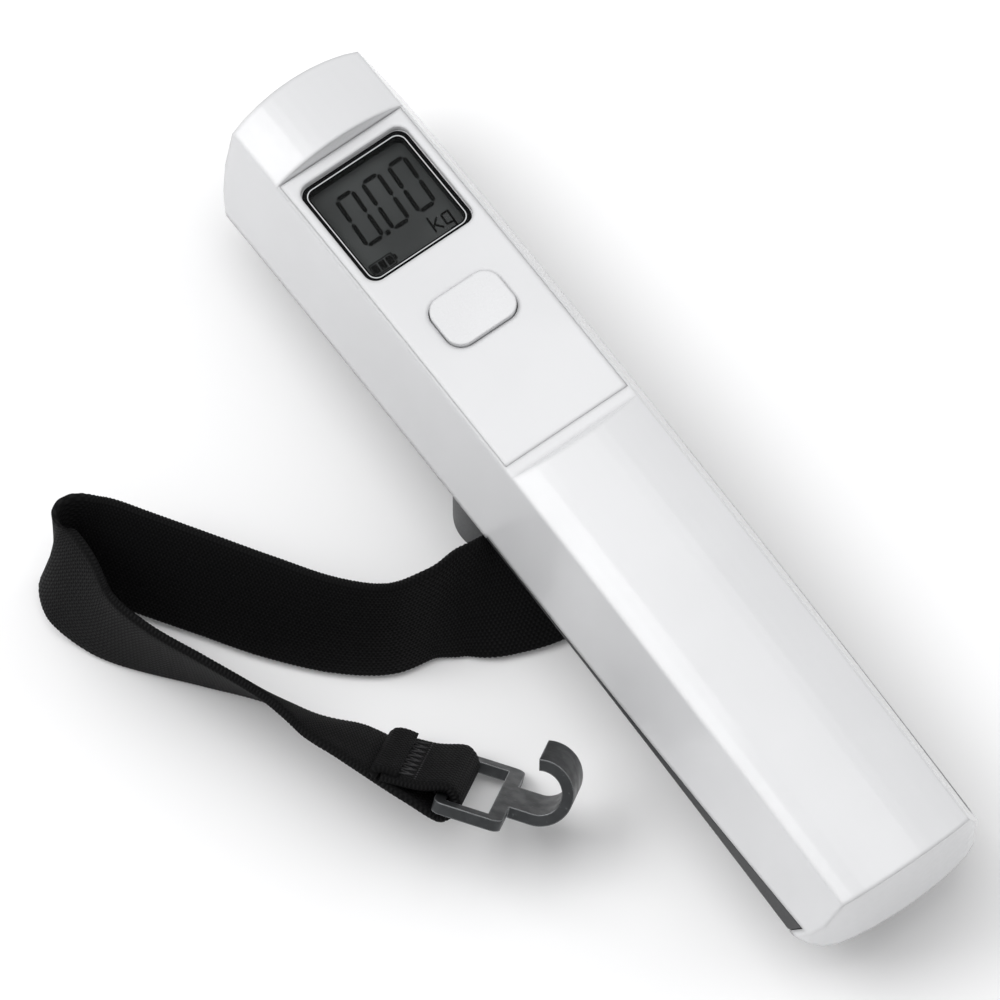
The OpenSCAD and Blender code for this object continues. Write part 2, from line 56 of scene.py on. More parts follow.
class Sock:
    """One output of a shader tree, with Python's operators on numbers."""

    def __init__(self, tree: "Tree", out: Any) -> None:
        """Keep the tree and its output socket."""
        self.tree, self.out = tree, out

    def _sum(self, operation: str, first: Any, second: Any = 0.0) -> "Sock":
        """Add one Math node and give its result."""
        return self.tree.add("ShaderNodeMath", {"operation": operation}, {0: first, 1: second})

    def __add__(self, other: Any) -> "Sock":
        """self + other"""
        return self._sum("ADD", self, other)

    __radd__ = __add__

    def __sub__(self, other: Any) -> "Sock":
        """self - other"""
        return self._sum("SUBTRACT", self, other)

    def __rsub__(self, other: Any) -> "Sock":
        """other - self"""
        return self._sum("SUBTRACT", other, self)

    def __mul__(self, other: Any) -> "Sock":
        """self * other"""
        return self._sum("MULTIPLY", self, other)

    __rmul__ = __mul__

    def __truediv__(self, other: Any) -> "Sock":
        """self / other"""
        return self._sum("DIVIDE", self, other)

    def __mod__(self, other: Any) -> "Sock":
        """self % other, always positive"""
        return self._sum("FLOORED_MODULO", self, other)

    def __abs__(self) -> "Sock":
        """abs(self)"""
        return self._sum("ABSOLUTE", self)

    def sine(self) -> "Sock":
        """Sine of self, in radians."""
        return self._sum("SINE", self)

    def above(self, limit: float) -> "Sock":
        """1 where self is greater than limit, else 0."""
        return self._sum("GREATER_THAN", self, limit)

    def ramp(self, low: float, high: float, to_low: float = 0.0, to_high: float = 1.0) -> "Sock":
        """Map low..high smoothly to to_low..to_high, clamped.

        Args:
            low: input where the result is to_low.
            high: input where the result is to_high.
            to_low: result at low.
            to_high: result at high.

        Returns:
            The mapped value.
        """
        return self.tree.add("ShaderNodeMapRange", {"interpolation_type": "SMOOTHSTEP"},
                             {0: self, 1: low, 2: high, 3: to_low, 4: to_high})


class Tree:
    """A material's node tree, with one method for every node."""

    def __init__(self, name: str) -> None:
        """Make an empty material called name."""
        self.material = bpy.data.materials.new(name)
        self.material.use_nodes = True
        self.nodes = self.material.node_tree.nodes
        self.links = self.material.node_tree.links
        self.nodes.clear()

    def add(self, kind: str, settings: dict[str, Any], sockets: dict[Any, Any], out: Any = 0) -> Sock:
        """Add a node, set it up and feed its sockets.

        Args:
            kind: Blender's node type.
            settings: attributes of the node, set before its sockets.
            sockets: socket name or number to a value or a Sock.
            out: the output wanted, by name or number.

        Returns:
            That output, wrapped.
        """
        node = self.nodes.new(kind)
        for key, value in settings.items():
            setattr(node, key, value)
        for key, value in sockets.items():
            if isinstance(value, Sock):
                self.links.new(value.out, node.inputs[key])
            else:
                node.inputs[key].default_value = value
        return Sock(self, node.outputs[out]) if len(node.outputs) else Sock(self, node)

    def place(self) -> Sock:
        """Object coordinates in metres."""
        return self.add("ShaderNodeTexCoord", {}, {}, "Object")

    def stretched(self, scale: Sequence[float]) -> Sock:
        """Object coordinates times a scale on each axis."""
        return self.add("ShaderNodeVectorMath", {"operation": "MULTIPLY"},
                        {0: self.place(), 1: tuple(scale)})

    def noise(self, scale: float, detail: float = 3.0, where: Any = None) -> Sock:
        """Soft noise round 0.5, scale features a metre."""
        return self.add("ShaderNodeTexNoise", {},
                        {"Vector": where or self.place(), "Scale": scale, "Detail": detail}, "Fac")

    def mix(self, amount: Any, first: Any, second: Any) -> Sock:
        """Blend two colours: first at 0, second at 1."""
        pick = lambda c: c if isinstance(c, Sock) else (*c, 1.0)
        return self.add("ShaderNodeMix", {"data_type": "RGBA"},
                        {0: amount, 6: pick(first), 7: pick(second)}, 2)

    def rounded_normal(self, radius: float) -> Sock:
        """The surface normal with sharp edges rounded by radius metres."""
        return self.add("ShaderNodeBevel", {"samples": 6}, {"Radius": radius}, "Normal")

    def edge_mask(self, radius: float) -> Sock:
        """1 on sharp edges, falling to 0 within radius metres of them."""
        soft = self.rounded_normal(radius)
        true = self.add("ShaderNodeNewGeometry", {}, {}, "True Normal")
        dot = self.add("ShaderNodeVectorMath", {"operation": "DOT_PRODUCT"}, {0: soft, 1: true}, "Value")
        return (1 - dot).ramp(0.02, 0.3)

    def bump(self, height: Any, distance: float, strength: float = 1.0, normal: Any = None) -> Sock:
        """A Bump node's normal for a height in 0..1 worth distance metres."""
        feeds = {"Height": height, "Distance": distance, "Strength": strength}
        if normal is not None:
            feeds["Normal"] = normal
        return self.add("ShaderNodeBump", {}, feeds, "Normal")

    def shade(self, **feeds: Any) -> bpy.types.Material:
        """Finish with one Principled shader.

        Args:
            feeds: Principled socket names, with _ for a space, to values or Socks.

        Returns:
            The finished material.
        """
        sockets = {}
        for key, value in feeds.items():
            name = key.replace("_", " ")
            sockets[name] = (*value, 1.0) if name == "Base Color" and isinstance(value, tuple) else value
        shader = self.add("ShaderNodeBsdfPrincipled", {}, sockets, "BSDF")
        self.add("ShaderNodeOutputMaterial", {}, {"Surface": shader})
        return self.material


# ------------------------------------------------------------------- finishes


@dataclass(frozen=True)
class MouldedGloss:
    """Glossy injection-moulded plastic with softly rounded edges."""

    name: str
    colour: Colour
    roughness: float = 0.22
    edge: float = 0.0005

    def make(self) -> bpy.types.Material:
        """Colour drifts slightly over the piece, and roughness with fine handling haze."""
        t = Tree(self.name)
        drift = t.noise(45.0, 2.0)
        haze = t.noise(900.0, 4.0)
        deep = tuple(c * 0.965 for c in self.colour)
        colour = t.mix(drift.ramp(0.35, 0.65), self.colour, deep)
        skin = t.bump(t.noise(1600.0, 2.0), 0.000012, 0.35, t.rounded_normal(self.edge))
        return t.shade(Base_Color=colour, Roughness=haze.ramp(0.3, 0.7, self.roughness - 0.03, self.roughness + 0.05),
                       Normal=skin, Coat_Weight=0.25, Coat_Roughness=0.08)


@dataclass(frozen=True)
class SparkedPlastic:
    """Matte plastic from a spark-textured mould."""

    name: str
    colour: Colour
    roughness: float = 0.55
    grain: float = 5200.0
    edge: float = 0.0004

    def make(self) -> bpy.types.Material:
        """Fine grain in the bump, a painted highlight lightening the edges, drifting colour."""
        t = Tree(self.name)
        grain = t.noise(self.grain, 2.0)
        # Painted highlight: this edge mask mixes the edges towards a lighter copy of the colour.
        edge_highlight = t.edge_mask(0.0003)
        light = tuple(min(1.0, c * 1.7 + 0.02) for c in self.colour)
        dark = tuple(c * 0.85 for c in self.colour)
        base = t.mix(t.noise(120.0).ramp(0.3, 0.7), self.colour, dark)
        colour = t.mix(edge_highlight * 0.55, base, light)
        skin = t.bump(grain, 0.00003, 0.5, t.rounded_normal(self.edge))
        rough = grain.ramp(0.3, 0.7, self.roughness - 0.07, self.roughness + 0.07)
        return t.shade(Base_Color=colour, Roughness=rough, Normal=skin)


@dataclass(frozen=True)
class Metal:
    """Drawn, milled or plated metal with brushing along one axis."""

    name: str
    colour: Colour
    roughness: float = 0.3
    brushed: Colour = (300.0, 6000.0, 6000.0)
    edge_highlight_share: float = 0.5

    def make(self) -> bpy.types.Material:
        """Streaks along the brushing, a painted highlight brightening the edges, and a little tarnish."""
        t = Tree(self.name)
        streak = t.noise(1.0, 3.0, t.stretched(self.brushed))
        tarnish = t.noise(260.0, 4.0).ramp(0.45, 0.75)
        edges = t.edge_mask(0.00025)
        dull = tuple(c * 0.72 for c in self.colour)
        edge_highlight_colour = tuple(min(1.0, c * 1.35 + 0.04) for c in self.colour)
        # Painted highlight: the edges are mixed towards a brighter copy of the colour.
        colour = t.mix(edges * self.edge_highlight_share, t.mix(tarnish * 0.5, self.colour, dull), edge_highlight_colour)
        rough = streak.ramp(0.3, 0.7, self.roughness - 0.06, self.roughness + 0.1) - edges * 0.08
        skin = t.bump(streak, 0.000008, 0.4, t.rounded_normal(0.0003))
        return t.shade(Base_Color=colour, Metallic=1.0, Roughness=rough, Normal=skin)


@dataclass(frozen=True)
class GunmetalCoat:
    """Dark gray satin coat over bent strip steel, with a painted highlight on its edges and lighter scuffs."""

    name: str
    colour: Colour
    edge_highlight: Colour
    roughness: float = 0.38

    def make(self) -> bpy.types.Material:
        """Coat with faint orange peel; the edges carry a painted highlight in a lighter steel colour, and random
        scuffs show that lighter steel as wear.
        """
        t = Tree(self.name)
        edges = t.edge_mask(0.0004)
        cloud = t.noise(420.0, 4.0)
        scuff = t.noise(1.0, 5.0, t.stretched((2600.0, 900.0, 1500.0))).ramp(0.62, 0.78)
        base = t.mix(cloud.ramp(0.35, 0.65), self.colour, tuple(c * 0.8 for c in self.colour))
        # Painted highlight on the edges (weight 0.75) plus real scuffs (weight 0.15), both mixed towards the lighter
        # steel colour.
        colour = t.mix(edges * 0.75 + scuff * 0.15, base, self.edge_highlight)
        skin = t.bump(t.noise(2400.0, 3.0), 0.00002, 0.5, t.rounded_normal(0.00045))
        return t.shade(Base_Color=colour, Metallic=0.75, Normal=skin,
                       Roughness=cloud.ramp(0.3, 0.7, self.roughness - 0.05, self.roughness + 0.08) - edges * 0.1)


@dataclass(frozen=True)
class ClearWindow:
    """Clear moulded window."""

    name: str

    def make(self) -> bpy.types.Material:
        """Nearly clear, with a polished coat that carries the reflections."""
        t = Tree(self.name)
        smear = t.noise(500.0, 4.0)
        skin = t.bump(t.noise(90.0), 0.00002, 0.15)
        return t.shade(Base_Color=t.mix(smear * 0.3, (0.5, 0.53, 0.53), (0.4, 0.43, 0.43)), Alpha=0.006,
                       Roughness=smear.ramp(0.3, 0.7, 0.03, 0.08), Normal=skin, Specular_IOR_Level=0.15)


@dataclass(frozen=True)
class LcdFilm:
    """Polariser over the liquid-crystal cell."""

    name: str
    colour: Colour

    def make(self) -> bpy.types.Material:
        """Dark gray film, lighter in cloudy patches."""
        t = Tree(self.name)
        cloud = t.noise(110.0, 1.0)
        colour = t.mix(cloud.ramp(0.3, 0.72), self.colour, tuple(c * 1.35 for c in self.colour))
        return t.shade(Base_Color=colour, Roughness=t.noise(700.0).ramp(0.3, 0.7, 0.32, 0.42),
                       Normal=t.bump(t.noise(5000.0), 0.000004, 0.3), Specular_IOR_Level=0.06)


@dataclass(frozen=True)
class Ink:
    """Flat printed or switched area on the display."""

    name: str
    colour: Colour
    roughness: float = 0.4

    def make(self) -> bpy.types.Material:
        """Even ink with slightly uneven density."""
        t = Tree(self.name)
        dense = t.noise(3000.0, 2.0)
        colour = t.mix(dense * 0.4, self.colour, tuple(c * 1.25 for c in self.colour))
        rough = dense.ramp(0.3, 0.7, self.roughness - 0.05, self.roughness + 0.05)
        return t.shade(Base_Color=colour, Roughness=rough, Specular_IOR_Level=0.03)


@dataclass(frozen=True)
class BoardMask:
    """Green solder mask with copper tracks under it."""

    name: str

    def make(self) -> bpy.types.Material:
        """Tracks are bands of two crossed waves on the board's plane, seen as lighter green."""
        t = Tree(self.name)
        at = t.add("ShaderNodeSeparateXYZ", {}, {0: t.place()}, 0)
        across = Sock(t, at.out)
        along = Sock(t, at.out.node.outputs[1])
        bend = t.noise(160.0, 1.0)
        tracks = ((across * 4200.0 + bend * 9.0).sine().above(0.82)) * (along * 900.0).sine().above(-0.4)
        pads = ((across * 1900.0).sine() * (along * 2100.0).sine()).above(0.93)
        green = t.mix(tracks, (0.012, 0.11, 0.05), (0.03, 0.2, 0.09))
        colour = t.mix(pads, green, (0.62, 0.6, 0.52))
        return t.shade(Base_Color=colour, Roughness=t.noise(1200.0).ramp(0.3, 0.7, 0.25, 0.4),
                       Metallic=pads * 0.8, Normal=t.bump(tracks + pads, 0.00003, 0.6))


@dataclass(frozen=True)
class Webbing:
    """Ribbed polyester webbing; its UV map is in millimetres, along and across."""

    name: str
    colour: Colour
    rib: float = 0.62
    yarn: float = 0.55
    half: float = 10.0
    selvedge: tuple[float, float] = (1.1, 0.5)

    def make(self) -> bpy.types.Material:
        """Weft ribs cross the band, warp yarns plait over them in alternate columns."""
        t = Tree(self.name)
        uv = t.add("ShaderNodeUVMap", {"uv_map": "weave"}, {}, 0)
        split = t.add("ShaderNodeSeparateXYZ", {}, {0: uv}, 0)
        along, across = Sock(t, split.out), Sock(t, split.out.node.outputs[1])
        column = (across / self.yarn) % 2.0
        shift = column.above(1.0) * math.pi
        weft = (along * (2 * math.pi / self.rib) + shift).sine() * 0.5 + 0.5
        warp = (across * (2 * math.pi / self.yarn)).sine() * 0.5 + 0.5
        fuzz = t.noise(9000.0, 3.0)
        height = weft * 0.55 + warp * 0.25 + fuzz * 0.35
        edge = abs(across).ramp(*(self.half - inset for inset in self.selvedge))
        lit = tuple(c * 2.6 + 0.004 for c in self.colour)
        colour = t.mix(height.ramp(0.45, 1.05), self.colour, lit)
        colour = t.mix(edge * 0.5, colour, self.colour)
        return t.shade(Base_Color=colour, Roughness=height.ramp(0.2, 1.0, 0.9, 0.62),
                       Normal=t.bump(height, 0.00012, 0.8), Specular_IOR_Level=0.12)


@dataclass(frozen=True)
class Thread:
    """Bonded sewing thread."""

    name: str
    colour: Colour

    def make(self) -> bpy.types.Material:
        """Plied thread: diagonal ply lines in the bump."""
        t = Tree(self.name)
        at = t.add("ShaderNodeSeparateXYZ", {}, {0: t.place()}, 0)
        ply = ((Sock(t, at.out) + Sock(t, at.out.node.outputs[1]) + Sock(t, at.out.node.outputs[2])) * 22000.0).sine()
        colour = t.mix(ply * 0.5 + 0.5, self.colour, tuple(c * 1.8 + 0.01 for c in self.colour))
        return t.shade(Base_Color=colour, Roughness=t.noise(3000.0).ramp(0.3, 0.7, 0.45, 0.6),
                       Normal=t.bump(ply, 0.00003, 0.5))


@dataclass(frozen=True)
class Rubber:
    """Soft rubber, as on leads and contact strips; bands mark a conductive core."""

    name: str
    colour: Colour
    banded: bool = False

    def make(self) -> bpy.types.Material:
        """Dull skin; a banded strip carries fine dark layers across it."""
        t = Tree(self.name)
        skin = t.noise(2500.0, 3.0)
        colour = t.mix(skin * 0.6, self.colour, tuple(c * 0.7 for c in self.colour))
        if self.banded:
            at = t.add("ShaderNodeSeparateXYZ", {}, {0: t.place()}, 0)
            colour = t.mix((Sock(t, at.out) * 31000.0).sine().above(0.2), colour, (0.02, 0.02, 0.02))
        return t.shade(Base_Color=colour, Roughness=skin.ramp(0.3, 0.7, 0.5, 0.68),
                       Normal=t.bump(skin, 0.00002, 0.4))


@dataclass(frozen=True)
class GaugeFilm:
    """Amber film carrying a folded foil grid."""

    name: str

    def make(self) -> bpy.types.Material:
        """Fine foil lines run along the film's length."""
        t = Tree(self.name)
        at = t.add("ShaderNodeSeparateXYZ", {}, {0: t.place()}, 0)
        lines = (Sock(t, at.out) * 15000.0).sine().above(0.1)
        colour = t.mix(lines, (0.48, 0.22, 0.05), (0.66, 0.5, 0.3))
        return t.shade(Base_Color=colour, Roughness=t.noise(900.0).ramp(0.3, 0.7, 0.25, 0.4),
                       Metallic=lines * 0.6, Normal=t.bump(lines, 0.00001, 0.5))


class Slot(Enum):
    """Material slots of the record, with the finish each one gets."""

    SHELL = ("shell_white", MouldedGloss("shell_plastic", (0.66, 0.663, 0.675), 0.22, 0.0012))
    BUTTON = ("button_white", MouldedGloss("button_plastic", (0.67, 0.673, 0.685), 0.26, 0.0006))
    COVER = ("cover_gray", SparkedPlastic("cover_plastic", (0.03, 0.031, 0.033), 0.42))
    COLLAR = ("collar_gray", SparkedPlastic("collar_plastic", (0.052, 0.055, 0.058), 0.5))
    LENS = ("lens_clear", ClearWindow("window"))
    LCD = ("lcd_dark", LcdFilm("display_film", (0.034, 0.036, 0.036)))
    FRAME = ("frame_black", SparkedPlastic("carrier_plastic", (0.012, 0.012, 0.013)))
    STRIP = ("strip_rubber", Rubber("contact_rubber", (0.42, 0.36, 0.34), True))
    SWITCH = ("switch_black", SparkedPlastic("switch_plastic", (0.02, 0.02, 0.021), 0.4))
    PLUNGER = ("plunger_tan", SparkedPlastic("plunger_plastic", (0.5, 0.45, 0.38), 0.45))
    BOARD = ("board_green", BoardMask("solder_mask"))
    SEAL = ("seal_black", MouldedGloss("potting_resin", (0.012, 0.012, 0.013), 0.3))
    STEEL = ("steel", Metal("zinc_steel", (0.6, 0.6, 0.6), 0.3))
    CELL = ("cell_steel", Metal("cell_can", (0.7, 0.7, 0.69), 0.2, (5000.0, 400.0, 5000.0)))
    SPRING = ("spring_steel", Metal("nickel_spring", (0.66, 0.63, 0.57), 0.25))
    BEAM = ("beam_aluminium", Metal("milled_aluminium", (0.72, 0.73, 0.74), 0.34, (6000.0, 300.0, 6000.0)))
    GAUGE = ("gauge_foil", GaugeFilm("gauge_film"))
    WIRE = ("wire_red", Rubber("lead_insulation", (0.42, 0.02, 0.02)))
    WEB = ("webbing_black", Webbing("webbing", (0.0016, 0.0016, 0.0018)))
    HOOK = ("hook_gray", GunmetalCoat("gunmetal", (0.06, 0.063, 0.066), (0.42, 0.43, 0.44)))


# -------------------------------------------------------------------- meshing


def grid_mesh(name: str, points: np.ndarray, wrap: bool, caps: bool, uv: np.ndarray | None = None,
              closed: bool = False) -> bpy.types.Object:
    """A surface from a grid of points.

    Point (i, j) lies at parameter i along and j round; a quad joins (i, j), (i + 1, j),
    (i + 1, j + 1) and (i, j + 1), and the two end rings close to a cap each.

    Args:
        name: the new object's name.
        points: rows by columns by 3, in metres.
        wrap: whether the last column joins the first.
        caps: whether the first and last rows are closed by a polygon.
        uv: rows by columns by 2 values for a map called weave.
        closed: whether the last row joins the first.

    Returns:
        The new object, at the origin.
    """
    rows, cols = points.shape[:2]
    i, j = np.meshgrid(np.arange(rows if closed else rows - 1), np.arange(cols if wrap else cols - 1), indexing="ij")
    k, after = (j + 1) % cols, (i + 1) % rows
    quads = np.stack([i * cols + j, i * cols + k, after * cols + k, after * cols + j], axis=-1).reshape(-1, 4)
    faces = quads.tolist()
    if caps:
        faces.append(list(range(cols))[::-1])
        faces.append([(rows - 1) * cols + c for c in range(cols)])
    mesh = bpy.data.meshes.new(name)
    mesh.from_pydata(points.reshape(-1, 3).tolist(), [], faces)
    if uv is not None:
        layer = mesh.uv_layers.new(name="weave")
        index = np.empty(len(mesh.loops), dtype=np.int32)
        mesh.loops.foreach_get("vertex_index", index)
        layer.data.foreach_set("uv", uv.reshape(-1, 2)[index].astype(np.float32).ravel())
    mesh.validate()
    mesh.shade_smooth()
    obj = bpy.data.objects.new(name, mesh)
    bpy.context.scene.collection.objects.link(obj)
    return obj


def catmull(knots: np.ndarray, per_span: int) -> np.ndarray:
    """Points on the Catmull-Rom curve through the knots.

    Between knots b and c, with a before and d after, the point at t is
    (2b + (c - a) t + (2a - 5b + 4c - d) t^2 + (3b - a - 3c + d) t^3) / 2.

    Args:
        knots: n by 3.
        per_span: points from each knot to the next.

    Returns:
        (n - 1) * per_span + 1 points, by 3.
    """
    n = len(knots)
    pick = lambda shift: knots[np.clip(np.arange(n - 1) + shift, 0, n - 1)][:, None, :]
    a, b, c, d = pick(-1), pick(0), pick(1), pick(2)
    t = (np.arange(per_span) / per_span)[None, :, None]
    spans = 0.5 * (2 * b + (c - a) * t + (2 * a - 5 * b + 4 * c - d) * t**2 + (3 * b - a - 3 * c + d) * t**3)
    return np.vstack([spans.reshape(-1, 3), knots[-1:]])


def unit(v: np.ndarray) -> np.ndarray:
    """Vectors scaled to length 1 along the last axis."""
    return v / np.linalg.norm(v, axis=-1, keepdims=True)


def plates(name: str, outlines: Sequence[np.ndarray], low: float, high: float,
           place: Callable[[np.ndarray], np.ndarray]) -> bpy.types.Object:
    """Flat plates in one mesh: each closed outline at two heights, walled and capped.

    Args:
        name: the new object's name.
        outlines: n by 2 arrays of points, anticlockwise, in millimetres.
        low: height of the lower faces, in millimetres.
        high: height of the upper faces.
        place: turns n by 3 local millimetres into row-frame metres.

    Returns:
        The plates.
    """
    points, faces, start = [], [], 0
    for outline in outlines:
        n = len(outline)
        points += [place(np.column_stack([outline, np.full(n, z)])) for z in (low, high)]
        k = np.arange(n)
        after = (k + 1) % n
        faces += (np.stack([k, after, after + n, k + n], axis=-1) + start).tolist()
        faces += [(k[::-1] + start).tolist(), (k + n + start).tolist()]
        start += 2 * n
    mesh = bpy.data.meshes.new(name)
    mesh.from_pydata(np.vstack(points).tolist(), [], faces)
    mesh.validate()
    mesh.shade_flat()
    obj = bpy.data.objects.new(name, mesh)
    bpy.context.scene.collection.objects.link(obj)
    return obj


def round_box(width: float, length: float, radius: float, steps: int = 8) -> np.ndarray:
    """Anticlockwise outline of a rectangle with circular corners, as 4 * (steps + 1) points."""
    turn = np.linspace(0, math.pi / 2, steps + 1)
    corner = np.stack([np.cos(turn), np.sin(turn)], axis=-1) * radius
    cx, cy = width / 2 - radius, length / 2 - radius
    spin = lambda a: np.array([[math.cos(a), math.sin(a)], [-math.sin(a), math.cos(a)]])
    centres = [(cx, cy), (-cx, cy), (-cx, -cy), (cx, -cy)]
    return np.vstack([corner @ spin(q * math.pi / 2) + centres[q] for q in range(4)])


def tube(name: str, path: np.ndarray, radius: float, sides: int = 8) -> bpy.types.Object:
    """A round thread along a path of points, in metres.

    The ring at each point is radius * (cos u * n + sin u * b), with n and b square to the path.
    """
    t = unit(np.gradient(path, axis=0))
    ref = np.where(np.abs(t[:, 2:3]) > 0.9, [[1.0, 0.0, 0.0]], [[0.0, 0.0, 1.0]])
    n = unit(np.cross(t, ref))
    b = np.cross(t, n)
    u = np.linspace(0, 2 * math.pi, sides, endpoint=False)
    ring = np.cos(u)[None, :, None] * n[:, None] + np.sin(u)[None, :, None] * b[:, None]
    return grid_mesh(name, path[:, None] + radius * ring, True, True)


# ----------------------------------------------------------------- assemblies


@dataclass
class Studio:
    """Camera, floor and soft lights."""

    azimuth: float = -36.0
    elevation: float = 67.0
    view_width: float = 0.1529
    distance: float = 1.7
    look_at: tuple[float, float, float] = (-0.00755, 0.01421, 0.00078)
    reach: float = 3.0
    rise_from: float = 1.5
    rise: float = 0.6
    below: float = 0.00002
    daylight: float = 0.62

    def back(self) -> Vector:
        """Direction from the scale to the camera."""
        a, e = math.radians(self.azimuth), math.radians(self.elevation)
        return Vector((math.sin(a) * math.cos(e), -math.cos(a) * math.cos(e), math.sin(e)))

    def camera(self) -> None:
        """A long lens far away, nearly free of perspective."""
        data = bpy.data.cameras.new("camera")
        data.lens = data.sensor_width * self.distance / self.view_width
        data.clip_start, data.clip_end = 0.05, 20.0
        cam = bpy.data.objects.new("camera", data)
        cam.location = Vector(self.look_at) + self.back() * self.distance
        cam.rotation_mode = "QUATERNION"
        cam.rotation_quaternion = (-self.back()).to_track_quat("-Z", "Y")
        bpy.context.scene.collection.objects.link(cam)
        bpy.context.scene.camera = cam

    def floor(self) -> None:
        """A pale sweep: flat, with z rising as a square of the distance far behind."""
        side, depth = np.linspace(-self.reach, self.reach, 9), np.linspace(-self.reach, self.reach, 25)
        x, y = np.meshgrid(side, depth, indexing="ij")
        z = np.where(y > self.rise_from, (y - self.rise_from) ** 2 * self.rise, 0.0) - self.below
        obj = grid_mesh("floor", np.stack([x, y, z], axis=-1), False, False)
        t = Tree("floor_paper")
        pale = t.mix(t.noise(4.0) * 0.2, (0.93, 0.93, 0.935), (0.9, 0.9, 0.905))
        obj.data.materials.append(t.shade(Base_Color=pale, Roughness=0.85))
        if obj.data.polygons[0].normal.z < 0:
            obj.data.flip_normals()

    def light(self, name: str, at: tuple[float, float, float], size: tuple[float, float], power: float) -> None:
        """One rectangular softbox aimed at the scale."""
        data = bpy.data.lights.new(name, "AREA")
        data.shape, data.size, data.size_y, data.energy = "RECTANGLE", size[0], size[1], power
        obj = bpy.data.objects.new(name, data)
        obj.location = at
        obj.rotation_mode = "QUATERNION"
        obj.rotation_quaternion = (-Vector(at)).to_track_quat("-Z", "Y")
        bpy.context.scene.collection.objects.link(obj)

    def build(self) -> None:
        """Set up everything round the object."""
        self.camera()
        self.floor()
        self.light("key", (-0.55, 0.5, 1.0), (0.8, 0.6), 6.5)
        self.light("fill", (0.9, -0.35, 0.7), (0.8, 0.8), 2.0)
        self.light("top", (0.1, 0.2, 1.4), (1.0, 1.0), 4.6)
        world = bpy.data.worlds.new("room")
        bpy.context.scene.world = world
        world.use_nodes = True
        world.node_tree.nodes["Background"].inputs[0].default_value = (1.0, 1.0, 1.0, 1.0)
        world.node_tree.nodes["Background"].inputs[1].default_value = self.daylight
        bpy.context.scene.view_settings.view_transform = "Standard"


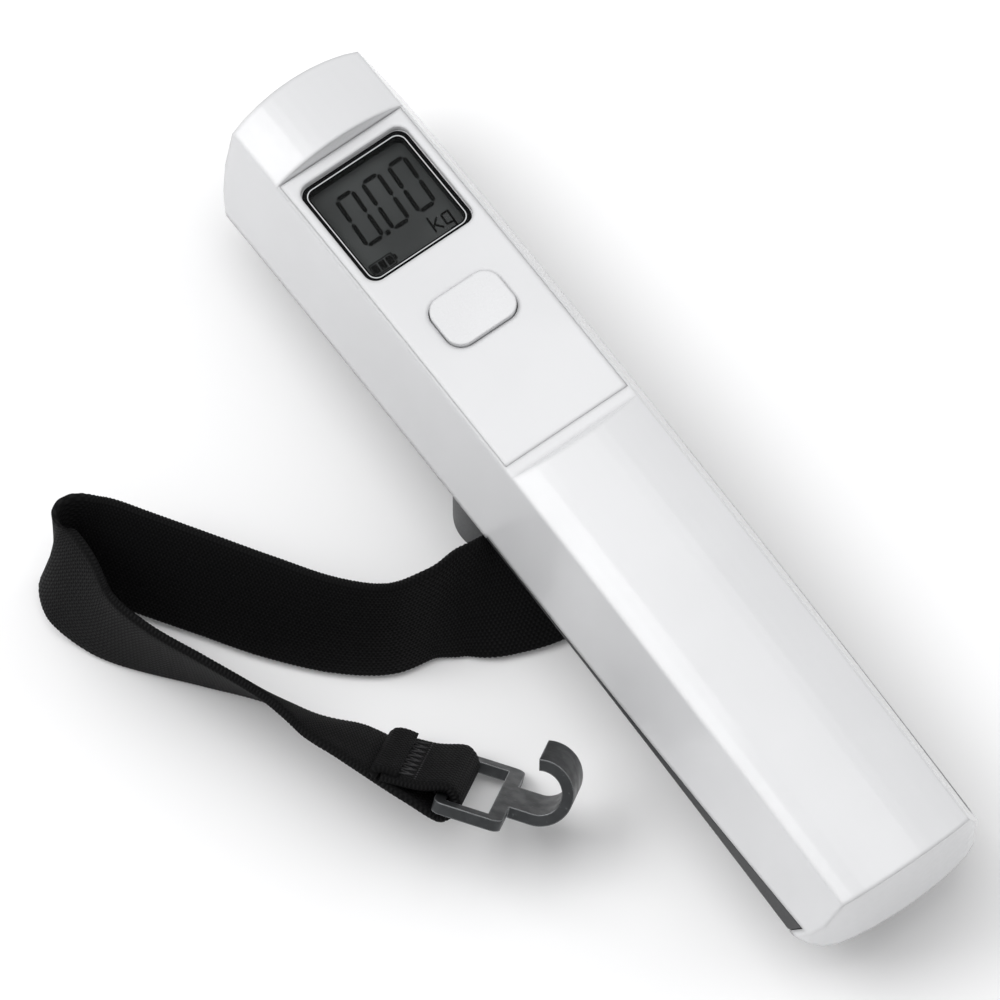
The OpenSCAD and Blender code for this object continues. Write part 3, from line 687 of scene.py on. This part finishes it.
@dataclass
class Strap:
    """The webbing strap: its loops, its lie on the floor, its sewn end."""

    width: float = 20.0
    thick: float = 1.5
    rib: float = 0.62
    rib_face: float = 0.045
    rib_edge: float = 0.07
    hem_thick: float = 1.25
    cord_step: float = 2.6
    rows_at: tuple[float, float] = (-4.6, -9.0)
    row_half: float = 8.6
    zigzag_half: float = 8.2
    zigzags: int = 15
    stitch_lift: float = 1.85
    thread: tuple[float, float] = (0.00017, 0.00018)
    pin: tuple[float, float] = (13.0, 8.6)
    pin_loop: float = 2.55
    bar_loop: float = 2.4
    seam: float = 9.6
    bar_at: tuple[float, float, float] = (-43.3, -22.1, 10.9)
    along_hook: tuple[float, float, float] = (0.59, -0.8, -0.06)
    across_hook: tuple[float, float, float] = (-0.42, -0.5, 0.74)
    route: tuple = (
        ((0, 10.3, 5), (-1, 0, 0)), ((0.1, 8, 2.4), (-1, 0, 0)), ((-0.2, 4.6, 2.6), (-0.98, 0.05, 0.16)),
        ((-1.2, 1, 4.2), (-0.88, 0.15, 0.42)), ((-4, -2, 6.4), (-0.58, 0.48, 0.6)),
        ((-8.8, -3.3, 7.6), (-0.14, 0.7, 0.68)), ((-13.8, -2.6, 7.8), (0.1, 0.7, 0.68)),
        ((-18.8, -0.5, 7.7), (0.16, 0.7, 0.66)), ((-23.8, 1.2, 8.8), (0.03, 0.5, 0.86)),
        ((-29, 2, 9.9), (0.08, 0.3, 0.95)), ((-36, 3.8, 10.1), (0.15, 0.3, 0.94)),
        ((-42.5, 9.5, 9.9), (0.22, 0.33, 0.92)), ((-48.5, 17.5, 9.8), (0.3, 0.34, 0.89)),
        ((-54, 26, 9.7), (0.33, 0.32, 0.89)), ((-59.5, 34.5, 9.6), (0.38, 0.25, 0.88)),
        ((-64, 41.3, 9.8), (0.45, 0.12, 0.88)), ((-67.2, 44.2, 10.6), (0.3, 0.2, 0.92)),
        ((-69.9, 42.8, 10.7), (0.3, 0.05, 0.93)), ((-71, 37.3, 10.8), (0.36, -0.03, 0.92)),
        ((-70.5, 30.5, 10.3), (0.2, -0.1, 0.97)), ((-67.5, 23, 10.4), (0.05, -0.15, 0.98)),
        ((-62.5, 14.5, 10.4), (-0.08, -0.22, 0.97)), ((-57.5, 6, 10.2), (-0.2, -0.3, 0.93)),
        ((-54.4, -1.4, 10.3), (-0.3, -0.36, 0.88)), ((-51.2, -8.2, 11), (-0.42, -0.42, 0.8)),
    )

    def hook_axes(self) -> tuple[np.ndarray, np.ndarray, np.ndarray]:
        """The hook's own x along its plate, y out of the plate and z across it."""
        x = unit(np.array(self.along_hook))
        b = np.array(self.across_hook)
        z = unit(b - b.dot(x) * x)
        return x, np.cross(z, x), z

    def by_hook(self, x: float, y: float) -> tuple[np.ndarray, np.ndarray]:
        """A knot beside the hook's bar, in millimetres, and the band's direction there."""
        ax, ay, az = self.hook_axes()
        return np.array(self.bar_at) + x * ax + y * ay, az

    def knots(self) -> tuple[np.ndarray, np.ndarray]:
        """Centre and upper-edge direction at each knot, over both loops and the route."""
        y, z = self.pin
        flat = (-1.0, 0.0, 0.0)
        turn = np.radians(np.arange(0, 181, 30))
        rows = [((0, y - 0.7, 3.6), flat), ((0, y + 1.2, 5.6), flat)]
        rows += [((0, y + self.pin_loop * math.cos(a), z + self.pin_loop * math.sin(a)), flat) for a in turn]
        rows += list(self.route)
        rows += [self.by_hook(-5.5, -0.9)]
        rows += [self.by_hook(self.bar_loop * math.cos(a), self.bar_loop * math.sin(a))
                 for a in np.radians(np.arange(-90, 91, 30))]
        rows += [self.by_hook(-4, 1.3), self.by_hook(-self.seam, 0.95)]
        return np.array([r[0] for r in rows], float), np.array([r[1] for r in rows], float)

    def frames(self, centre: np.ndarray, edge: np.ndarray) -> tuple[np.ndarray, np.ndarray]:
        """The band's width and thickness directions, square to its line."""
        t = unit(np.gradient(centre, axis=0))
        b = unit(edge - (edge * t).sum(-1, keepdims=True) * t)
        return b, np.cross(t, b)

    def even(self, centre: np.ndarray, edge: np.ndarray, step: float) -> tuple[np.ndarray, np.ndarray, np.ndarray]:
        """Resample a line to equal steps of arc length, by linear interpolation."""
        s = np.concatenate([[0], np.cumsum(np.linalg.norm(np.diff(centre, axis=0), axis=1))])
        at = np.linspace(0, s[-1], int(s[-1] / step) + 1)
        pick = lambda v: np.stack([np.interp(at, s, v[:, k]) for k in range(3)], axis=-1)
        return pick(centre), pick(edge), at

    def profile(self, thick: float, width: float, steps: int = 11) -> np.ndarray:
        """Flat band with half-round selvedges, anticlockwise, as (width, thickness) points."""
        r = thick / 2
        a = np.linspace(-math.pi / 2, math.pi / 2, 7)
        right = np.stack([width / 2 - r + r * np.cos(a), r * np.sin(a)], axis=-1)
        top = np.stack([np.linspace(width / 2 - r, -width / 2 + r, steps)[1:-1], np.full(steps - 2, r)], axis=-1)
        return np.vstack([right, top, -right, -top])

    def sweep(self, name: str, centre: np.ndarray, edge: np.ndarray, thick: float, width: float) -> bpy.types.Object:
        """Carry the band's profile along its line.

        The point at arc length s and profile (p, q) is centre(s) + p b(s) + q c(s), with q raised by
        rib_face sin(2 pi s / rib) on the faces for the weft ribs, and p by rib_edge of the same on
        the selvedges.
        """
        c, e, s = self.even(centre, edge, self.rib / 4)
        b, n = self.frames(c, e)
        prof = self.profile(thick, width)
        rib = np.sin(2 * math.pi * s / self.rib)[:, None]
        face = (np.abs(prof[:, 1]) > thick * 0.45)[None, :]
        p = prof[None, :, 0] + np.where(face, 0.0, self.rib_edge * rib * np.sign(prof[None, :, 0]))
        q = prof[None, :, 1] + np.where(face, self.rib_face * rib * np.sign(prof[None, :, 1]), 0.0)
        points = c[:, None] + p[..., None] * b[:, None] + q[..., None] * n[:, None]
        uv = np.stack(np.broadcast_arrays(s[:, None], prof[None, :, 0]), axis=-1)
        obj = grid_mesh(name, points * MM, True, True, uv)
        obj.data.materials.append(finish(Slot.WEB))
        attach(obj, "scale_body")
        return obj

    def stitches(self) -> list[bpy.types.Object]:
        """Lockstitch thread on the sewn end: two rows across and a zigzag between them.

        The zigzag's height follows a triangle wave along the band.
        """
        ax, ay, az = self.hook_axes()
        base = np.array(self.bar_at)
        out = []
        for k, along in enumerate(self.rows_at):
            w = np.linspace(-self.row_half, self.row_half, 69)
            bob = 0.12 * np.cos(np.linspace(0, 34 * math.pi, 69))
            path = base + along * ax + np.outer(w, az) + np.outer(self.stitch_lift - 0.05 + bob, ay)
            out.append(tube(f"stitch_row_{k}", path * MM, self.thread[0]))
        count = self.zigzags * 6 + 1
        w = np.linspace(-self.zigzag_half, self.zigzag_half, count)
        tri = np.abs((np.linspace(0, self.zigzags, count) % 2) - 1)
        path = base + np.outer(-8.6 + 3.6 * tri, ax) + np.outer(w, az) + self.stitch_lift * ay
        out.append(tube("stitch_zigzag", path * MM, self.thread[1]))
        material = Thread("thread", (0.008, 0.008, 0.009)).make()
        for obj in out:
            obj.data.materials.append(material)
            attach(obj, "scale_body")
        return out

    def hem(self) -> bpy.types.Object:
        """The cut end turned under itself: a short second layer, as a flat loop in section."""
        turn = ((2.4, 2.0), (0.6, 2.15), (-0.7, 1.9), (-1.2, 1.2), (-0.5, 0.8))
        rows = [self.by_hook(x - self.seam, y) for x, y in turn]
        centre = catmull(np.array([r[0] for r in rows]), 12)
        edge = catmull(np.array([r[1] for r in rows]), 12)
        return self.sweep("strap_hem", centre, edge, self.hem_thick, self.width - 0.3)

    def build(self) -> None:
        knots, dirs = self.knots()
        centre, edge = catmull(knots, 10), catmull(dirs, 10)
        band = self.sweep("strap_band", centre, edge, self.thick, self.width)
        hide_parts("strap")
        free = catmull(np.array([r[0] for r in self.route] + [self.by_hook(-5.5, -0.9)[0]], float), 12)
        path, _, s = self.even(free, free, self.cord_step)
        sewn = self.stitches()
        tuple(float(v) for v in path[0] * MM)
        float(s[-1] * MM)
        (path * MM).tolist()
        log.info("strap: %d faces, free length %.3f m", len(band.data.polygons), s[-1] * MM)


@dataclass
class Display:
    """Digits, unit, battery sign and mask of the display."""

    arch_radius: float = 919.494
    station: float = 53.0
    collar_height: float = 16.0
    film_height: float = 12.63
    mask_height: float = 14.36
    width: float = 19.6
    length: float = 20.0
    slant: float = 0.07

    def place(self, local: np.ndarray) -> np.ndarray:
        """Local millimetres over the display's centre, up from the arched back, to metres."""
        a = math.asin(self.station / self.arch_radius)
        c, s = math.cos(a), math.sin(a)
        x, y, z = local[..., 0], local[..., 1], local[..., 2] + self.arch_radius
        return np.stack([x, y * c + z * s, -y * s + z * c + self.collar_height - self.arch_radius], axis=-1) * MM

    def dress(self, obj: bpy.types.Object, material: bpy.types.Material, slot: Slot) -> None:
        """Give a display piece its material and body."""
        obj.data.materials.append(material)
        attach(obj, "scale_body")

    def bar(self, a: tuple[float, float], b: tuple[float, float], wide: float, point: float = 0.5) -> np.ndarray:
        """A segment from a to b with pointed ends, anticlockwise."""
        a, b = np.array(a), np.array(b)
        d = unit(b - a)
        n = np.array([-d[1], d[0]]) * wide / 2
        k = d * wide / 2 * point * 2
        return np.array([a, a + k - n, b - k - n, b, b - k + n, a + k + n])

    def digit(self, left: float, low: float, wide: float, high: float, thick: float) -> list[np.ndarray]:
        """The six lit segments of a zero, as hexagons."""
        g = 0.12
        l, r, b, t = left + thick / 2, left + wide - thick / 2, low + thick / 2, low + high - thick / 2
        m = (b + t) / 2
        runs = [((l + g, y), (r - g, y)) for y in (b, t)]
        runs += [((x, low + g), (x, high - g)) for x in (l, r) for low, high in ((b, m), (m, t))]
        return [self.bar(p, q, thick) for p, q in runs]

    def shapes(self) -> list[np.ndarray]:
        """Outlines of everything lit on the display, in millimetres from its centre."""
        out: list[np.ndarray] = []
        for left in (-6.0, -1.15, 3.7):
            out += self.digit(left, -3.3, 3.6, 9.9, 0.72)
        out.append(round_box(0.85, 0.85, 0.2, 3) + (-1.85, -2.9))
        out += [self.bar(p, q, 0.16, 0.0) for p, q in (((-7.4, -7.9), (-3.3, -7.9)), ((-3.3, -7.9), (-3.3, -5.9)),
                                                       ((-3.3, -5.9), (-7.4, -5.9)), ((-7.4, -5.9), (-7.4, -7.9)))]
        out += [round_box(1.1, 1.5, 0.08, 2) + (x, -6.9) for x in (-6.7, -5.37, -4.04)]
        out.append(round_box(0.35, 0.9, 0.08, 2) + (-3.02, -6.9))
        stem = 0.34
        out += [self.bar(p, q, stem, 0.15) for p, q in (
            ((4.4, -7.3), (4.4, -4.4)), ((4.5, -6.4), (5.75, -5.2)), ((4.85, -6.1), (5.85, -7.3)),
            ((6.5, -7.2), (6.5, -5.3)), ((6.5, -5.3), (7.75, -5.3)), ((6.5, -7.2), (7.75, -7.2)),
            ((7.75, -5.1), (7.75, -8.2)), ((7.75, -8.2), (6.55, -8.2)))]
        return [np.column_stack([o[:, 0] + self.slant * (o[:, 1] + 1.0), o[:, 1]]) for o in out]

    def lit(self) -> bpy.types.Object:
        """All lit areas as one object of thin plates."""
        return plates("display_segments", self.shapes(), self.film_height, self.film_height + 0.04, self.place)

    def ring(self, name: str, outset: float, inset: float, radii: tuple[float, float],
             low: float, high: float) -> bpy.types.Object:
        """A frame between two rounded outlines: a grid over angle and a square section.

        Args:
            name: the new object's name.
            outset: how much smaller than the window the outer outline is, in millimetres.
            inset: the same for the inner outline.
            radii: corner radii of the outer and the inner outline.
            low: height of its underside.
            high: height of its top.

        Returns:
            The frame.
        """
        o = round_box(self.width - outset, self.length - outset, radii[0])
        i = round_box(self.width - inset, self.length - inset, radii[1])
        rows = [(o, low), (i, low), (i, high), (o, high)]
        pts = np.stack([self.place(np.column_stack([r, np.full(len(r), z)])) for r, z in rows], axis=1)
        obj = grid_mesh(name, pts, True, False, closed=True)
        obj.data.shade_flat()
        return obj

    def build(self) -> None:
        """Segments on the film, mask ring, its gasket and a light ring under the window, painted as the highlight on
        the window's bevel.
        """
        self.dress(self.lit(), Ink("segment_ink", (0.0012, 0.0012, 0.0012)).make(), Slot.LCD)
        top, black = self.mask_height, Ink("mask_ink", (0.003, 0.003, 0.0033), 0.3).make()
        mask = self.ring("display_mask", 0.1, 2.2, (2.1, 1.4), top, top + 0.05)
        self.dress(mask, black, Slot.FRAME)
        gasket = self.ring("display_gasket", 2.05, 2.2, (1.45, 1.4), self.film_height + 0.1, top - 0.01)
        self.dress(gasket, black, Slot.FRAME)
        # Painted highlight: a thin light gray ring round the window stands for the light caught on its bevel.
        line = self.ring("display_bevel_highlight", 1.45, 1.75, (1.6, 1.5), top + 0.05, top + 0.07)
        self.dress(line, Ink("bevel_highlight_ink", (0.55, 0.56, 0.57), 0.25).make(), Slot.STEEL)
        log.info("display: %d outlines", len(self.shapes()))


MADE: dict[str, bpy.types.Material] = {}


def finish(slot: Slot) -> bpy.types.Material:
    """The one material of a slot, made on first use."""
    name, recipe = slot.value
    if name not in MADE:
        MADE[name] = recipe.make()
    return MADE[name]


@dataclass
class Casting:
    """Every carried-over node and the finish of its slot."""

    slots: dict[str, Slot] = field(default_factory=lambda: {s.value[0]: s for s in Slot})

    def dress(self) -> None:
        """Put each node's finish in all its material slots."""
        for row in frame["record"]["subparts"]:
            obj = frame["nodes"][row["node"]]
            material = finish(self.slots[row["material_slot"]])
            if not obj.data.materials:
                obj.data.materials.append(material)
            for k in range(len(obj.data.materials)):
                obj.data.materials[k] = material
            log.info("%s: %s", row["node"], material.name)


def main() -> None:
    """Build the studio, the strap and the display, and dress the nodes."""
    logging.basicConfig(level=logging.INFO, format="%(name)s %(message)s")
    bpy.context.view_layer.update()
    Studio().build()
    strap = Strap()
    strap.build()
    strap.hem()
    Display().build()
    Casting().dress()


if __name__ == "__main__":
    main()
